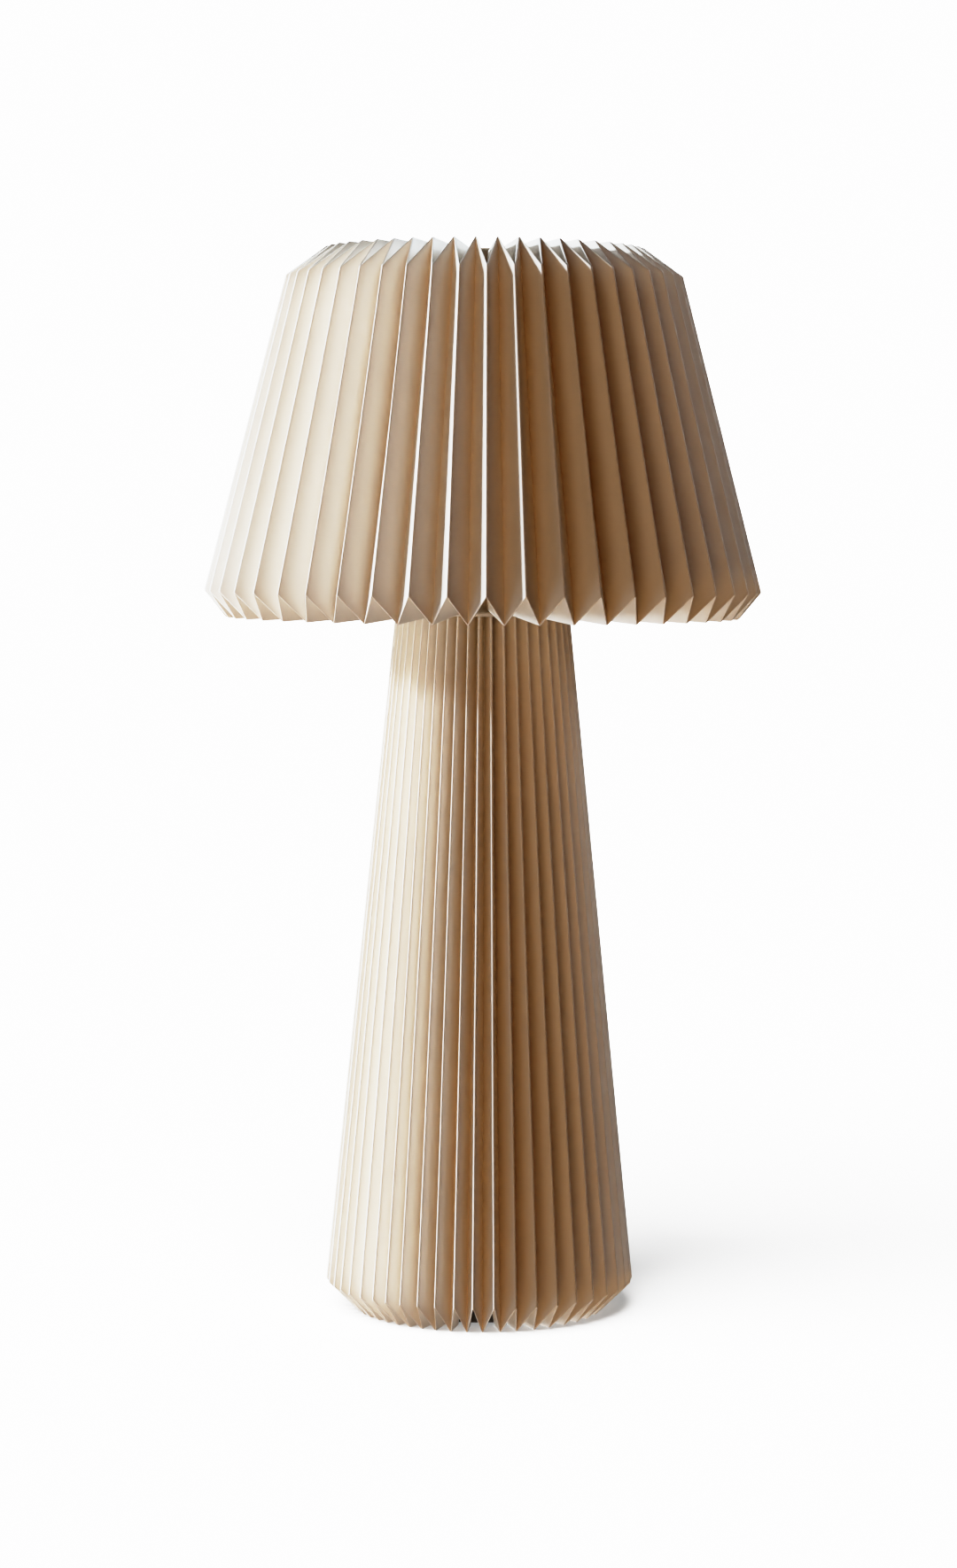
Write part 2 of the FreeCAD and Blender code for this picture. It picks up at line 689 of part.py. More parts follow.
globe_outside = primitive("Part::Sphere", "globe_outside", globe_centre,
                          Radius=size["globe_radius"])
globe_inside = primitive("Part::Sphere", "globe_inside", globe_centre,
                         Radius=size["globe_radius"] - size["globe_wall"])
globe_shell = cut("globe_shell", globe_outside, globe_inside)
globe_foot = cylinder("globe_foot", size["globe_radius"] + size["overrun"],
                      size["globe_radius"], globe_seat - size["globe_radius"])
bulb_globe = cut("bulb_globe", globe_shell, globe_foot)


# Rings of the shade

lower_lip = lower_collar_crest + size["fold_round"] + size["seat_gap"]
upper_lip = (upper_collar_level + (upper_ring_edge - upper_collar_radius) * upper_collar_slope
             + size["fold_round"] + size["seat_gap"])
upper_ring_bottom = (upper_collar_base - size["fold_round"] - size["seat_gap"]
                     - size["ring_sheet"])


def channel_ring(label, bore, edge, bottom, top_lip):
    """A round channel, open outwards, that holds a collar's gathered folds between its lips."""
    wall = bore + size["ring_sheet"]
    return turned(label, [
        (bore, bottom),
        (edge, bottom),
        (edge, bottom + size["ring_sheet"]),
        (wall, bottom + size["ring_sheet"]),
        (wall, top_lip),
        (edge, top_lip),
        (edge, top_lip + size["ring_sheet"]),
        (bore, top_lip + size["ring_sheet"])])


shade_lower_ring = channel_ring("shade_lower_ring", lower_ring_bore, lower_ring_edge,
                                plate_top, lower_lip)
shade_upper_ring = channel_ring("shade_upper_ring", size["vent_radius"], upper_ring_edge,
                                upper_ring_bottom, upper_lip)


# Check and write

doc.recompute()
pieces = foot_sheets + shade_sheets + [
    base_felt, base_weight, cable_bush, stem_tube, stem_nuts, stem_washers, foot_top_plate,
    lampholder_cap, lampholder_insert, lampholder_sleeve, lampholder_centre_contact,
    lampholder_side_contact, terminal_screws, bulb_tip_contact, bulb_insulator, bulb_screw_cap,
    bulb_housing, bulb_light_board, bulb_globe, shade_lower_ring, shade_upper_ring]
for thing in doc.Objects:
    if "Invalid" in thing.State or "Error" in thing.State:
        raise RuntimeError("%s failed: %s" % (thing.Label, thing.State))
for piece in pieces:
    if piece.Shape.isNull() or not piece.Shape.isValid():
        raise RuntimeError("%s has no valid shape" % piece.Label)

os.makedirs("parts", exist_ok=True)
for piece in pieces:
    piece.Shape.exportStep("parts/%s.step" % piece.Label)
    box = piece.Shape.BoundBox
    print("%-26s %2d solid(s)  %9.1f cubic mm  z %6.1f to %6.1f  reach %6.1f" % (
        piece.Label, len(piece.Shape.Solids), piece.Shape.Volume, box.ZMin, box.ZMax, box.XMax))
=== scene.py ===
# %% [markdown]
# A table lamp folded from shade foil. The foot is a tall skirt of 48 sharp pleats and the shade a
# wider one, and the foil of both turns inwards at its ends in a reverse fold, which gives the
# saw-tooth edges. The model comes packed as a frame of plain solids, one for each part. This
# notebook dresses that frame: it folds finer skins than a solid model can hold, cuts a real
# thread, and gives every part a finish. The shade's three joined sheets are dressed as one skin,
# because the seams lie hidden in inner folds.

import json
import math

import bpy
from mathutils import Euler, Matrix, Vector


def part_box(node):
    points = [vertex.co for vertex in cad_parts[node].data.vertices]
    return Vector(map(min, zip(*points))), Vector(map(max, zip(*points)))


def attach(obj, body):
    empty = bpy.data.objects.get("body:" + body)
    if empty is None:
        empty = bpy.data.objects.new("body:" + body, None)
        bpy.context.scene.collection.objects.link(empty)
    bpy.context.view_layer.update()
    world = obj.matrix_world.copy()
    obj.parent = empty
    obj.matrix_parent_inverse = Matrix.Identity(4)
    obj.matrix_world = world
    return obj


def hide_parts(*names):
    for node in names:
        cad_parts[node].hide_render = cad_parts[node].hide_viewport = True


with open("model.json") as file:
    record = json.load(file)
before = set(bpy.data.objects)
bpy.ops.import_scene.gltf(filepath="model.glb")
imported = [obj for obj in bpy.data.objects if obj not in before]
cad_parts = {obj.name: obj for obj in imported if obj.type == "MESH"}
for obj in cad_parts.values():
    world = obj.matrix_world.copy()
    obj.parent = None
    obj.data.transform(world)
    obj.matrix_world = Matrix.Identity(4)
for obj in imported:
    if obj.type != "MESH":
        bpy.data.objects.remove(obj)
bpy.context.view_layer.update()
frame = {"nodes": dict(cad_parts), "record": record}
print("nodes in the frame:", len(frame["nodes"]))

# %% [markdown]
# Geometry Nodes and materials are both trees of nodes. They can be drawn by hand in the editor,
# but in a script a few small helpers read better: one adds a node, sets its options and feeds its
# inputs in order, and three more do sums with numbers, whole numbers and vectors.

# %% Helpers for trees of nodes
MM = 0.001


def feed(tree, socket, value):
    """Joins another node's output to an input, or writes a plain value into it."""
    if isinstance(value, bpy.types.NodeSocket):
        tree.links.new(value, socket)
    else:
        socket.default_value = value


def add_node(tree, kind, *values, **options):
    """Adds a node, sets its options and feeds its inputs in order. None leaves one as it is."""
    node = tree.nodes.new(kind)
    for name, option in options.items():
        setattr(node, name, option)
    for socket, value in zip([each for each in node.inputs if each.enabled], values):
        if value is not None:
            feed(tree, socket, value)
    return node


def sum_of(tree, operation, *values):
    """A sum with numbers."""
    return add_node(tree, "ShaderNodeMath", *values, operation=operation).outputs[0]


def whole(tree, operation, *values):
    """A sum with whole numbers."""
    return add_node(tree, "FunctionNodeIntegerMath", *values, operation=operation).outputs[0]


def enabled_output(node):
    """The first output that the node's options leave on."""
    return next(each for each in node.outputs if each.enabled)


def vector(tree, operation, *values):
    """A sum with vectors."""
    return enabled_output(add_node(tree, "ShaderNodeVectorMath", *values, operation=operation))


def start_tree(title, inputs, output):
    """A geometry tree with named inputs. Gives the tree, its inputs by name and its output."""
    tree = bpy.data.node_groups.new(title, "GeometryNodeTree")
    for name, kind in inputs:
        tree.interface.new_socket(name, in_out="INPUT", socket_type=kind)
    tree.interface.new_socket(output[0], in_out="OUTPUT", socket_type=output[1])
    given = {each.name: each for each in tree.nodes.new("NodeGroupInput").outputs if each.name}
    return tree, given, tree.nodes.new("NodeGroupOutput").inputs[0]


print("helpers ready")

# %% [markdown]
# On the real lamp all the foil is scored into strips of one width, so every fold of the foot and
# of the shade is the same distance from the next. That one rule gives all the inner folds: where
# the outer folds stand on a circle, the inner ones stand a strip's width away from them. The
# sizes below are the ones that drive the solid model, in metres.

# %% Sizes of the folded sheets
pleats = 48
strip_width = 17.4 * MM
foil = 0.4 * MM
half_pitch = math.pi / pleats

plate_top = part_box("foot_top_plate")[1].z
foot_height = 372.4 * MM
foot_corner_radius = 82.3 * MM
foot_corner_level = 15.1 * MM
foot_top_radius = 46.9 * MM
foot_collar_radius = 51.3 * MM

shade_drop = 3.3 * MM
shade_corner_rise = 14.0 * MM
shade_slant_height = 169.7 * MM
shade_top_rise = 15.1 * MM
shade_corner_radius = 150.0 * MM
shade_top_radius = 107.2 * MM
lower_collar_radius = 39.6 * MM
lower_collar_rise = 5.0 * MM
upper_collar_radius = 28.1 * MM
upper_collar_sink = 3.5 * MM

shade_low_level = plate_top - shade_drop
shade_corner_level = shade_low_level + shade_corner_rise
shade_top_level = shade_corner_level + shade_slant_height
shade_tip_level = shade_top_level + shade_top_rise


def strip_height(radius):
    """Height of a strip that stands on edge where the folds have this radius."""
    aside = radius * math.sin(half_pitch)
    return math.sqrt(strip_width ** 2 - aside ** 2)


def valley_radius(fold_radius, slope):
    """Radius of the inner folds on the level where the outer ones have fold_radius."""
    return fold_radius * math.cos(half_pitch) - strip_height(fold_radius) * math.hypot(1, slope)


foot_slope = (foot_corner_radius - foot_top_radius) / (foot_height - foot_corner_level)
shade_slope = (shade_corner_radius - shade_top_radius) / (shade_top_level - shade_corner_level)
print("inner folds at the foot's top:", round(valley_radius(foot_top_radius, foot_slope), 4))

# %% [markdown]
# A pleated sheet is described by two lines in the plane of radius and height: the way of an outer
# fold and the way of an inner one. Straight lines between corners would do for the solid model,
# but a real fold line turns its corner in a small curve, and near a corner the strips fan out.
# So each line gets a short curve at its corners and a row of points that the other line matches.

# %% The two fold lines of each sheet
corner_leg = 0.9 * MM
fan_margin = 4 * MM
fan_shares = (1 / 3, 2 / 3)
row_spacing = 28 * MM
curve_shares = (0, 0.25, 0.5, 0.75, 1)


def mix(first, second, share):
    """The point at a share of the way from first to second."""
    return tuple(a + (b - a) * share for a, b in zip(first, second))


def stops_between(starts, ends, spacing):
    """Pairs of stops on the two lines: a fan at each end and level rows between."""
    way = 1 if ends[0] > starts[0] else -1
    first = way * max(way * stop for stop in starts) + way * fan_margin
    last = way * min(way * stop for stop in ends) - way * fan_margin
    count = max(2, round(abs(last - first) / spacing))
    rows = [mix(starts, (first, first), share) for share in fan_shares]
    rows += [mix((first, first), (last, last), index / count) for index in range(count + 1)]
    rows += [mix((last, last), ends, share) for share in fan_shares]
    return rows


def corner_curve(before, corner, after):
    """Points of the short curve in which a fold line turns a corner."""
    legs = []
    for far in (before, after):
        length = math.dist(corner, far)
        legs.append(mix(corner, far, corner_leg / length))
    return [mix(mix(legs[0], corner, share), mix(corner, legs[1], share), share)
            for share in curve_shares]


def matched_lines(ridge, valley, axes, spacing):
    """The points of both fold lines. axes says which of radius and height each stretch runs in."""
    lines = []
    for corners, which in ((ridge, 0), (valley, 1)):
        points = [corners[0]]
        for index, axis in enumerate(axes):
            start, end = corners[index], corners[index + 1]
            for row in stops_between((ridge[index][axis], valley[index][axis]),
                                     (ridge[index + 1][axis], valley[index + 1][axis]), spacing):
                share = (row[which] - start[axis]) / (end[axis] - start[axis])
                points.append(mix(start, end, share))
            if index + 1 < len(axes):
                points += corner_curve(start, end, corners[index + 2])
        points.append(corners[-1])
        lines.append(points)
    return lines


radius_axis, height_axis = 0, 1
floor_line = foil / 2
foot_tip_radius = valley_radius(
    foot_corner_radius + (foot_corner_level - floor_line) * foot_slope, foot_slope)
foot_lines = matched_lines(
    [(foot_collar_radius, floor_line + strip_height(foot_collar_radius)),
     (foot_corner_radius, foot_corner_level),
     (foot_top_radius, foot_height)],
    [(foot_collar_radius, floor_line),
     (foot_tip_radius, floor_line),
     (valley_radius(foot_top_radius, foot_slope), foot_height)],
    [radius_axis, height_axis], row_spacing)

low_tip_radius = valley_radius(
    shade_corner_radius + (shade_corner_level - shade_low_level) * shade_slope, shade_slope)
top_tip_radius = valley_radius(
    shade_top_radius - (shade_tip_level - shade_top_level) * shade_slope, shade_slope)
lower_collar_level = shade_low_level + lower_collar_rise
upper_collar_level = shade_tip_level - upper_collar_sink
shade_lines = matched_lines(
    [(lower_collar_radius, lower_collar_level + strip_height(lower_collar_radius)),
     (shade_corner_radius, shade_corner_level),
     (shade_top_radius, shade_top_level),
     (upper_collar_radius, upper_collar_level - strip_height(upper_collar_radius))],
    [(lower_collar_radius, lower_collar_level),
     (low_tip_radius, shade_low_level),
     (top_tip_radius, shade_tip_level),
     (upper_collar_radius, upper_collar_level)],
    [radius_axis, height_axis, radius_axis], row_spacing)
print("rows of the foot and the shade:", len(foot_lines[0]), len(shade_lines[0]))

# %% [markdown]
# Across the folds, the foil can't bend to a point: its middle runs round a small circle, goes
# flat to the middle of the strip, and there meets the flat from the next fold. One fold's share
# of that run is ten points. Each has two numbers: how far round the circle it lies, from minus
# one to one, and how far along the flat. A third number is kept for the material, because foil
# turns paler where it is creased.

# %% One fold in section
fold_radius = 0.36 * MM
flat_shares = (1, 0.45, 0.09)
turn_shares = (-1, -0.5, 0, 0.5, 1)
crease_falloff = 0.6
fold_section = [(-1, share, 0) for share in flat_shares]
fold_section += [(turn, 0, 1 - crease_falloff * abs(turn)) for turn in turn_shares]
fold_section += [(1, share, 0) for share in reversed(flat_shares[1:])]


def table_object(name, points):
    """An object that only hands its points to a tree of nodes."""
    mesh = bpy.data.meshes.new(name)
    mesh.from_pydata(points, [(index, index + 1) for index in range(len(points) - 1)], [])
    made = bpy.data.objects.new(name, mesh)
    bpy.context.scene.collection.objects.link(made)
    return made


print("points across one fold:", len(fold_section))

# %% [markdown]
# This small group answers one question: where is the point of fold number so-and-so in row
# so-and-so? It takes the point from the outer or the inner line, and turns it about the axis. In
# the photograph the foot's folds aren't spaced evenly: they crowd together at the front left and
# no two gaps are quite alike. The group moves the folds at the sides round by a squared cosine,
# adds a little chance with a fixed seed, and lets each fold wander by a hair along its length.

# %% A group that places one point of one fold
noise_step_of_fold = 3.7
wander_scale = 8.0
wander_detail = 1.0
noise_middle = 0.5


def sampled(tree, geometry, index):
    """The position of one point of a geometry."""
    position = tree.nodes.new("GeometryNodeInputPosition").outputs[0]
    return add_node(tree, "GeometryNodeSampleIndex", geometry, position, index,
                    data_type="FLOAT_VECTOR", domain="POINT").outputs[0]


def fold_place_group():
    """The place of a fold's point in one row, turned about the axis."""
    tree, given, place = start_tree(
        "Fold place",
        [("Outer line", "NodeSocketGeometry"), ("Inner line", "NodeSocketGeometry"),
         ("Fold", "NodeSocketInt"), ("Row", "NodeSocketInt"), ("Folds", "NodeSocketInt"),
         ("First fold", "NodeSocketFloat"), ("Crowding", "NodeSocketFloat"),
         ("Scatter", "NodeSocketFloat"), ("Wander", "NodeSocketFloat"),
         ("Seed", "NodeSocketInt")],
        ("Place", "NodeSocketVector"))
    number = whole(tree, "FLOORED_MODULO", given["Fold"], given["Folds"])
    inner = whole(tree, "MODULO", number, 2)
    point = add_node(tree, "GeometryNodeSwitch", inner,
                     sampled(tree, given["Outer line"], given["Row"]),
                     sampled(tree, given["Inner line"], given["Row"]),
                     input_type="VECTOR").outputs[0]
    step = sum_of(tree, "DIVIDE", 2 * math.pi, given["Folds"])
    even = sum_of(tree, "MULTIPLY_ADD", number, step, given["First fold"])
    squared = sum_of(tree, "POWER", sum_of(tree, "COSINE", even), 2)
    crowded = sum_of(tree, "MULTIPLY_ADD", given["Crowding"], squared, even)
    chance = add_node(tree, "FunctionNodeRandomValue",
                      sum_of(tree, "MULTIPLY", given["Scatter"], -1), given["Scatter"],
                      number, given["Seed"], data_type="FLOAT").outputs["Value"]
    parts = add_node(tree, "ShaderNodeSeparateXYZ", point).outputs
    beside = add_node(tree, "ShaderNodeCombineXYZ",
                      sum_of(tree, "MULTIPLY", number, noise_step_of_fold),
                      given["Seed"], parts["Z"]).outputs[0]
    waves = add_node(tree, "ShaderNodeTexNoise", beside, wander_scale, wander_detail).outputs[0]
    aside = sum_of(tree, "MULTIPLY", sum_of(tree, "SUBTRACT", waves, noise_middle),
                   given["Wander"])
    turn = sum_of(tree, "ADD", sum_of(tree, "ADD", crowded, chance),
                  sum_of(tree, "DIVIDE", aside, parts["X"]))
    placed = add_node(tree, "ShaderNodeVectorRotate", point, None, turn,
                      rotation_type="Z_AXIS").outputs[0]
    feed(tree, place, placed)
    return tree


fold_place = fold_place_group()
print("nodes in the group:", len(fold_place.nodes))

# %% [markdown]
# The whole sheet is a grid that is rolled up: columns across the folds, rows along them. It could
# be written as loops over vertices, but as Geometry Nodes the sheet keeps its sizes as inputs,
# and the same tree folds the foot and the shade. For each point the tree asks where its own fold
# is and where the two folds beside it are. The small circle sits inside the angle between them,
# and its tangent through the middle of the strip is the flat. At the end the grid's two edges,
# which now lie on each other, are welded.

# %% The tree that folds a sheet
sheet_weld = 0.02 * MM


def folded_sheet_tree():
    """A grid rolled up and pleated, with each point on its fold's circle or flat."""
    tree, given, result = start_tree(
        "Folded sheet",
        [("Outer line", "NodeSocketObject"), ("Inner line", "NodeSocketObject"),
         ("Fold section", "NodeSocketObject"), ("Folds", "NodeSocketInt"),
         ("Points across a fold", "NodeSocketInt"), ("Rows", "NodeSocketInt"),
         ("Fold radius", "NodeSocketFloat"), ("First fold", "NodeSocketFloat"),
         ("Crowding", "NodeSocketFloat"), ("Scatter", "NodeSocketFloat"),
         ("Wander", "NodeSocketFloat"), ("Seed", "NodeSocketInt"),
         ("Foil", "NodeSocketMaterial")],
        ("Sheet", "NodeSocketGeometry"))

    def geometry_of(name):
        return add_node(tree, "GeometryNodeObjectInfo", given[name]).outputs["Geometry"]

    outer, inner = geometry_of("Outer line"), geometry_of("Inner line")
    columns = whole(tree, "MULTIPLY", given["Folds"], given["Points across a fold"])
    grid = add_node(tree, "GeometryNodeMeshGrid", 1.0, 1.0, whole(tree, "ADD", columns, 1),
                    given["Rows"]).outputs
    index = tree.nodes.new("GeometryNodeInputIndex").outputs[0]
    column = whole(tree, "FLOORED_MODULO",
                   whole(tree, "DIVIDE_FLOOR", index, given["Rows"]), columns)
    row = whole(tree, "FLOORED_MODULO", index, given["Rows"])
    fold = whole(tree, "DIVIDE_FLOOR", column, given["Points across a fold"])
    slot = whole(tree, "FLOORED_MODULO", column, given["Points across a fold"])
    section = add_node(tree, "ShaderNodeSeparateXYZ",
                       sampled(tree, geometry_of("Fold section"), slot)).outputs

    def place(offset):
        group = add_node(tree, "GeometryNodeGroup", node_tree=fold_place)
        number = whole(tree, "ADD", fold, offset)
        for name, value in (("Outer line", outer), ("Inner line", inner), ("Fold", number),
                            ("Row", row)):
            feed(tree, group.inputs[name], value)
        for name in ("Folds", "First fold", "Crowding", "Scatter", "Wander", "Seed"):
            feed(tree, group.inputs[name], given[name])
        return group.outputs[0]

    def direction(end, start):
        return vector(tree, "NORMALIZE", vector(tree, "SUBTRACT", end, start))

    here, before, after = place(0), place(-1), place(1)
    to_before, to_after = direction(before, here), direction(after, here)
    inward = vector(tree, "NORMALIZE", vector(tree, "ADD", to_before, to_after))
    side = sum_of(tree, "SIGN", section["X"])
    sideways = vector(tree, "SCALE", direction(to_after, to_before), side)
    radius = given["Fold radius"]
    centre = vector(tree, "ADD", here, vector(tree, "SCALE", inward, radius))
    beyond = sum_of(tree, "GREATER_THAN", side, 0)
    neighbour = add_node(tree, "GeometryNodeSwitch", beyond, before, after,
                         input_type="VECTOR").outputs[0]
    middle = vector(tree, "SCALE", vector(tree, "ADD", here, neighbour), 0.5)
    to_middle = vector(tree, "SUBTRACT", middle, centre)
    reach = sum_of(tree, "ARCTAN2", vector(tree, "DOT_PRODUCT", to_middle, sideways),
                   sum_of(tree, "MULTIPLY", vector(tree, "DOT_PRODUCT", to_middle, inward), -1))
    lean = sum_of(tree, "ARCCOSINE",
                  sum_of(tree, "DIVIDE", radius, vector(tree, "LENGTH", to_middle)))
    turn = sum_of(tree, "MULTIPLY", sum_of(tree, "ABSOLUTE", section["X"]),
                  sum_of(tree, "SUBTRACT", reach, lean))
    out = sum_of(tree, "MULTIPLY", sum_of(tree, "COSINE", turn),
                 sum_of(tree, "MULTIPLY", radius, -1))
    across = sum_of(tree, "MULTIPLY", sum_of(tree, "SINE", turn), radius)
    round_point = vector(tree, "ADD", vector(tree, "ADD", centre,
                                             vector(tree, "SCALE", inward, out)),
                         vector(tree, "SCALE", sideways, across))
    flat = vector(tree, "SCALE", vector(tree, "SUBTRACT", middle, round_point), section["Y"])
    folded = add_node(tree, "GeometryNodeSetPosition", grid["Mesh"], None,
                      vector(tree, "ADD", round_point, flat)).outputs[0]
    marked = add_node(tree, "GeometryNodeStoreNamedAttribute", folded, None, "crease",
                      section["Z"], data_type="FLOAT", domain="POINT").outputs[0]
    mapped = add_node(tree, "GeometryNodeStoreNamedAttribute", marked, None, "UVMap",
                      grid["UV Map"], data_type="FLOAT2", domain="CORNER").outputs[0]
    closed = add_node(tree, "GeometryNodeMergeByDistance", mapped, None, sheet_weld).outputs[0]
    smooth = add_node(tree, "GeometryNodeSetShadeSmooth", closed).outputs[0]
    real = add_node(tree, "GeometryNodeRealizeInstances", smooth).outputs[0]
    feed(tree, result, add_node(tree, "GeometryNodeSetMaterial", real, None,
                                given["Foil"]).outputs[0])
    return tree


folded_sheet = folded_sheet_tree()
print("nodes in the tree:", len(folded_sheet.nodes))

# %% [markdown]
# Every finish starts from the same few nodes: a noise in object space moves the colour a little
# lighter and darker in patches, a finer one becomes a shallow bump, and the roughness varies with
# it. A flat colour would look like a paint chip; these few nodes give each surface a scale of its
# own.

# %% A finish for plain materials
patch_grains = 9
fine_detail = 4.0
roughness_swing = 0.15


def new_material(name):
    """A new material, its tree and its shader."""
    material = bpy.data.materials.new(name)
    material.use_nodes = True
    tree = material.node_tree
    shader = tree.nodes["Principled BSDF"]
    return material, tree, shader


def object_noise(tree, cell, detail=3.0, stretch=(1, 1, 1)):
    """A noise whose grains are about one cell wide, in object space."""
    place = add_node(tree, "ShaderNodeTexCoord").outputs["Object"]
    scaled = add_node(tree, "ShaderNodeMapping", place).outputs[0]
    scaled.node.inputs["Scale"].default_value = stretch
    return add_node(tree, "ShaderNodeTexNoise", scaled, 1 / cell, detail).outputs[0]


def between(tree, share, low, high, low_share=0.3, high_share=0.7):
    """Moves a share of 0 to 1 to a value from low to high."""
    return add_node(tree, "ShaderNodeMapRange", share, low_share, high_share, low,
                    high).outputs[0]


def tinted(tree, colour, share, spread):
    """A colour that a noise makes up to spread lighter and darker."""
    value = between(tree, share, 1 - spread, 1 + spread)
    return add_node(tree, "ShaderNodeHueSaturation", None, None, value, None,
                    (*colour, 1)).outputs[0]


def roughen(tree, shader, height, depth, strength=1.0):
    """Turns a pattern of 0 to 1 into a bump that is depth metres high."""
    bump = add_node(tree, "ShaderNodeBump", strength, depth)
    feed(tree, bump.inputs["Height"], height)
    feed(tree, shader.inputs["Normal"], bump.outputs[0])


def finish(name, colour, roughness, grain, depth, spread, metallic=0.0, stretch=(1, 1, 1),
           **sockets):
    """A finish whose grains are about one grain wide. Other sockets take one plain value each."""
    material, tree, shader = new_material(name)
    patches = object_noise(tree, grain * patch_grains)
    fine = object_noise(tree, grain, fine_detail, stretch)
    feed(tree, shader.inputs["Base Color"], tinted(tree, colour, patches, spread))
    feed(tree, shader.inputs["Roughness"],
         between(tree, fine, roughness * (1 - roughness_swing),
                 min(1.0, roughness * (1 + roughness_swing))))
    shader.inputs["Metallic"].default_value = metallic
    for socket, value in sockets.items():
        shader.inputs[socket.replace("_", " ").title()].default_value = value
    roughen(tree, shader, fine, depth)
    return material


print("finishes can be made")

# %% [markdown]
# The foil is a cream plastic sheet with a satin face. It is thin enough to let some light
# through, and that light comes out orange, which adds to the warm glow between the folds. So the
# shader is a satin surface with a little translucent light mixed in. The folds are paler, because
# creased foil turns whitish.

# %% The foil
foil_colour = (0.98, 0.93, 0.85)
crease_colour = (0.98, 0.94, 0.88)
through_colour = (0.85, 0.56, 0.14)
through_share = 0.03
foil_patch = 60 * MM
foil_spread = 0.012
foil_grain = 0.5 * MM
foil_grain_depth = 0.02 * MM
foil_grain_strength = 0.25
foil_roughness = (0.5, 0.6)
foil_specular = 0.35
crease_whitening = 0.6


def foil_material():
    """Satin foil that lets a little light through and is paler along its creases."""
    material, tree, shader = new_material("shade_foil")
    patches = object_noise(tree, foil_patch)
    fine = object_noise(tree, foil_grain)
    crease = add_node(tree, "ShaderNodeAttribute", attribute_name="crease").outputs["Fac"]
    base = tinted(tree, foil_colour, patches, foil_spread)
    whitened = add_node(tree, "ShaderNodeMix", sum_of(tree, "MULTIPLY", crease, crease_whitening),
                        base, (*crease_colour, 1), data_type="RGBA")
    feed(tree, shader.inputs["Base Color"], enabled_output(whitened))
    feed(tree, shader.inputs["Roughness"], between(tree, fine, *foil_roughness))
    shader.inputs["Specular IOR Level"].default_value = foil_specular
    roughen(tree, shader, fine, foil_grain_depth, foil_grain_strength)
    through = add_node(tree, "ShaderNodeBsdfTranslucent", (*through_colour, 1)).outputs[0]
    both = add_node(tree, "ShaderNodeMixShader", through_share, shader.outputs[0], through)
    feed(tree, tree.nodes["Material Output"].inputs["Surface"], both.outputs[0])
    return material


shade_foil = foil_material()
print("material:", shade_foil.name)

# %% [markdown]
# Now the sheets themselves. The modifier folds a sheet without thickness, a Solidify modifier
# gives it the foil's thickness, and the evaluated result becomes a plain mesh. The tree's inputs
# are set by their identifiers before anything is evaluated.

# %% Fold a sheet into a plain mesh
def set_inputs(modifier, tree, values):
    """Sets a modifier's inputs, by identifier, to the values of their names."""
    for item in tree.interface.items_tree:
        if item.item_type == "SOCKET" and item.in_out == "INPUT":
            modifier[item.identifier] = values[item.name]


def plain_mesh(name, tree, values, thickness):
    """Evaluates a tree on an empty object and keeps the result as an ordinary piece."""
    made = bpy.data.objects.new(name, bpy.data.meshes.new(name))
    bpy.context.scene.collection.objects.link(made)
    modifier = made.modifiers.new("Nodes", "NODES")
    modifier.node_group = tree
    set_inputs(modifier, tree, values)
    wall = made.modifiers.new("Thickness", "SOLIDIFY")
    wall.thickness = thickness
    wall.offset = 0
    wall.use_even_offset = True
    evaluated = made.evaluated_get(bpy.context.evaluated_depsgraph_get())
    mesh = bpy.data.meshes.new_from_object(evaluated)
    made.modifiers.clear()
    made.data = mesh
    return made


def folded(name, lines, first_fold, crowding, scatter, wander, seed):
    """A folded sheet as an ordinary piece."""
    tables = [table_object("outer_line", [(radius, 0, height) for radius, height in lines[0]]),
              table_object("inner_line", [(radius, 0, height) for radius, height in lines[1]]),
              table_object("fold_section", fold_section)]
    piece = plain_mesh(name, folded_sheet, {
        "Outer line": tables[0], "Inner line": tables[1], "Fold section": tables[2],
        "Folds": 2 * pleats, "Points across a fold": len(fold_section), "Rows": len(lines[0]),
        "Fold radius": fold_radius, "First fold": first_fold, "Crowding": crowding,
        "Scatter": scatter, "Wander": wander, "Seed": seed, "Foil": shade_foil}, foil)
    for each in tables:
        bpy.data.objects.remove(each)
    return piece


foot_turn = math.radians(-2.7)
foot_crowding = math.radians(7.7)
foot_scatter = math.radians(0.3)
foot_wander = 0.5 * MM
foot_seed = 3
foot_sheet = folded("foot_sheet", foot_lines, foot_turn, foot_crowding, foot_scatter, foot_wander,
                    foot_seed)
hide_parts("pleated_foot")
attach(foot_sheet, "base")

shade_turn, shade_crowding = 0.0, 0.0
shade_scatter = math.radians(0.08)
shade_wander = 0.35 * MM
shade_seed = 5
shade_sheet = folded("shade_sheet", shade_lines, shade_turn, shade_crowding, shade_scatter,
                     shade_wander, shade_seed)
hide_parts("pleated_shade_left", "pleated_shade_front", "pleated_shade_right")
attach(shade_sheet, "shade")
for sheet in (foot_sheet, shade_sheet):
    print(sheet.name, "faces:", len(sheet.data.polygons))

# %% [markdown]
# The parts inside the lamp keep their solid shapes and get a finish each: rough cast iron, felt
# with its fibres, bright zinc, satin powder coat, brass, glazed ceramic, moulded plastic and the
# opal plastic of the bulb. A row gives the colour, the roughness, the width and depth of the
# grain, how far the colour varies and, for a bare metal, a one. Each grain has a real scale, from
# about a tenth of a millimetre on zinc to more than a millimetre on the casting.

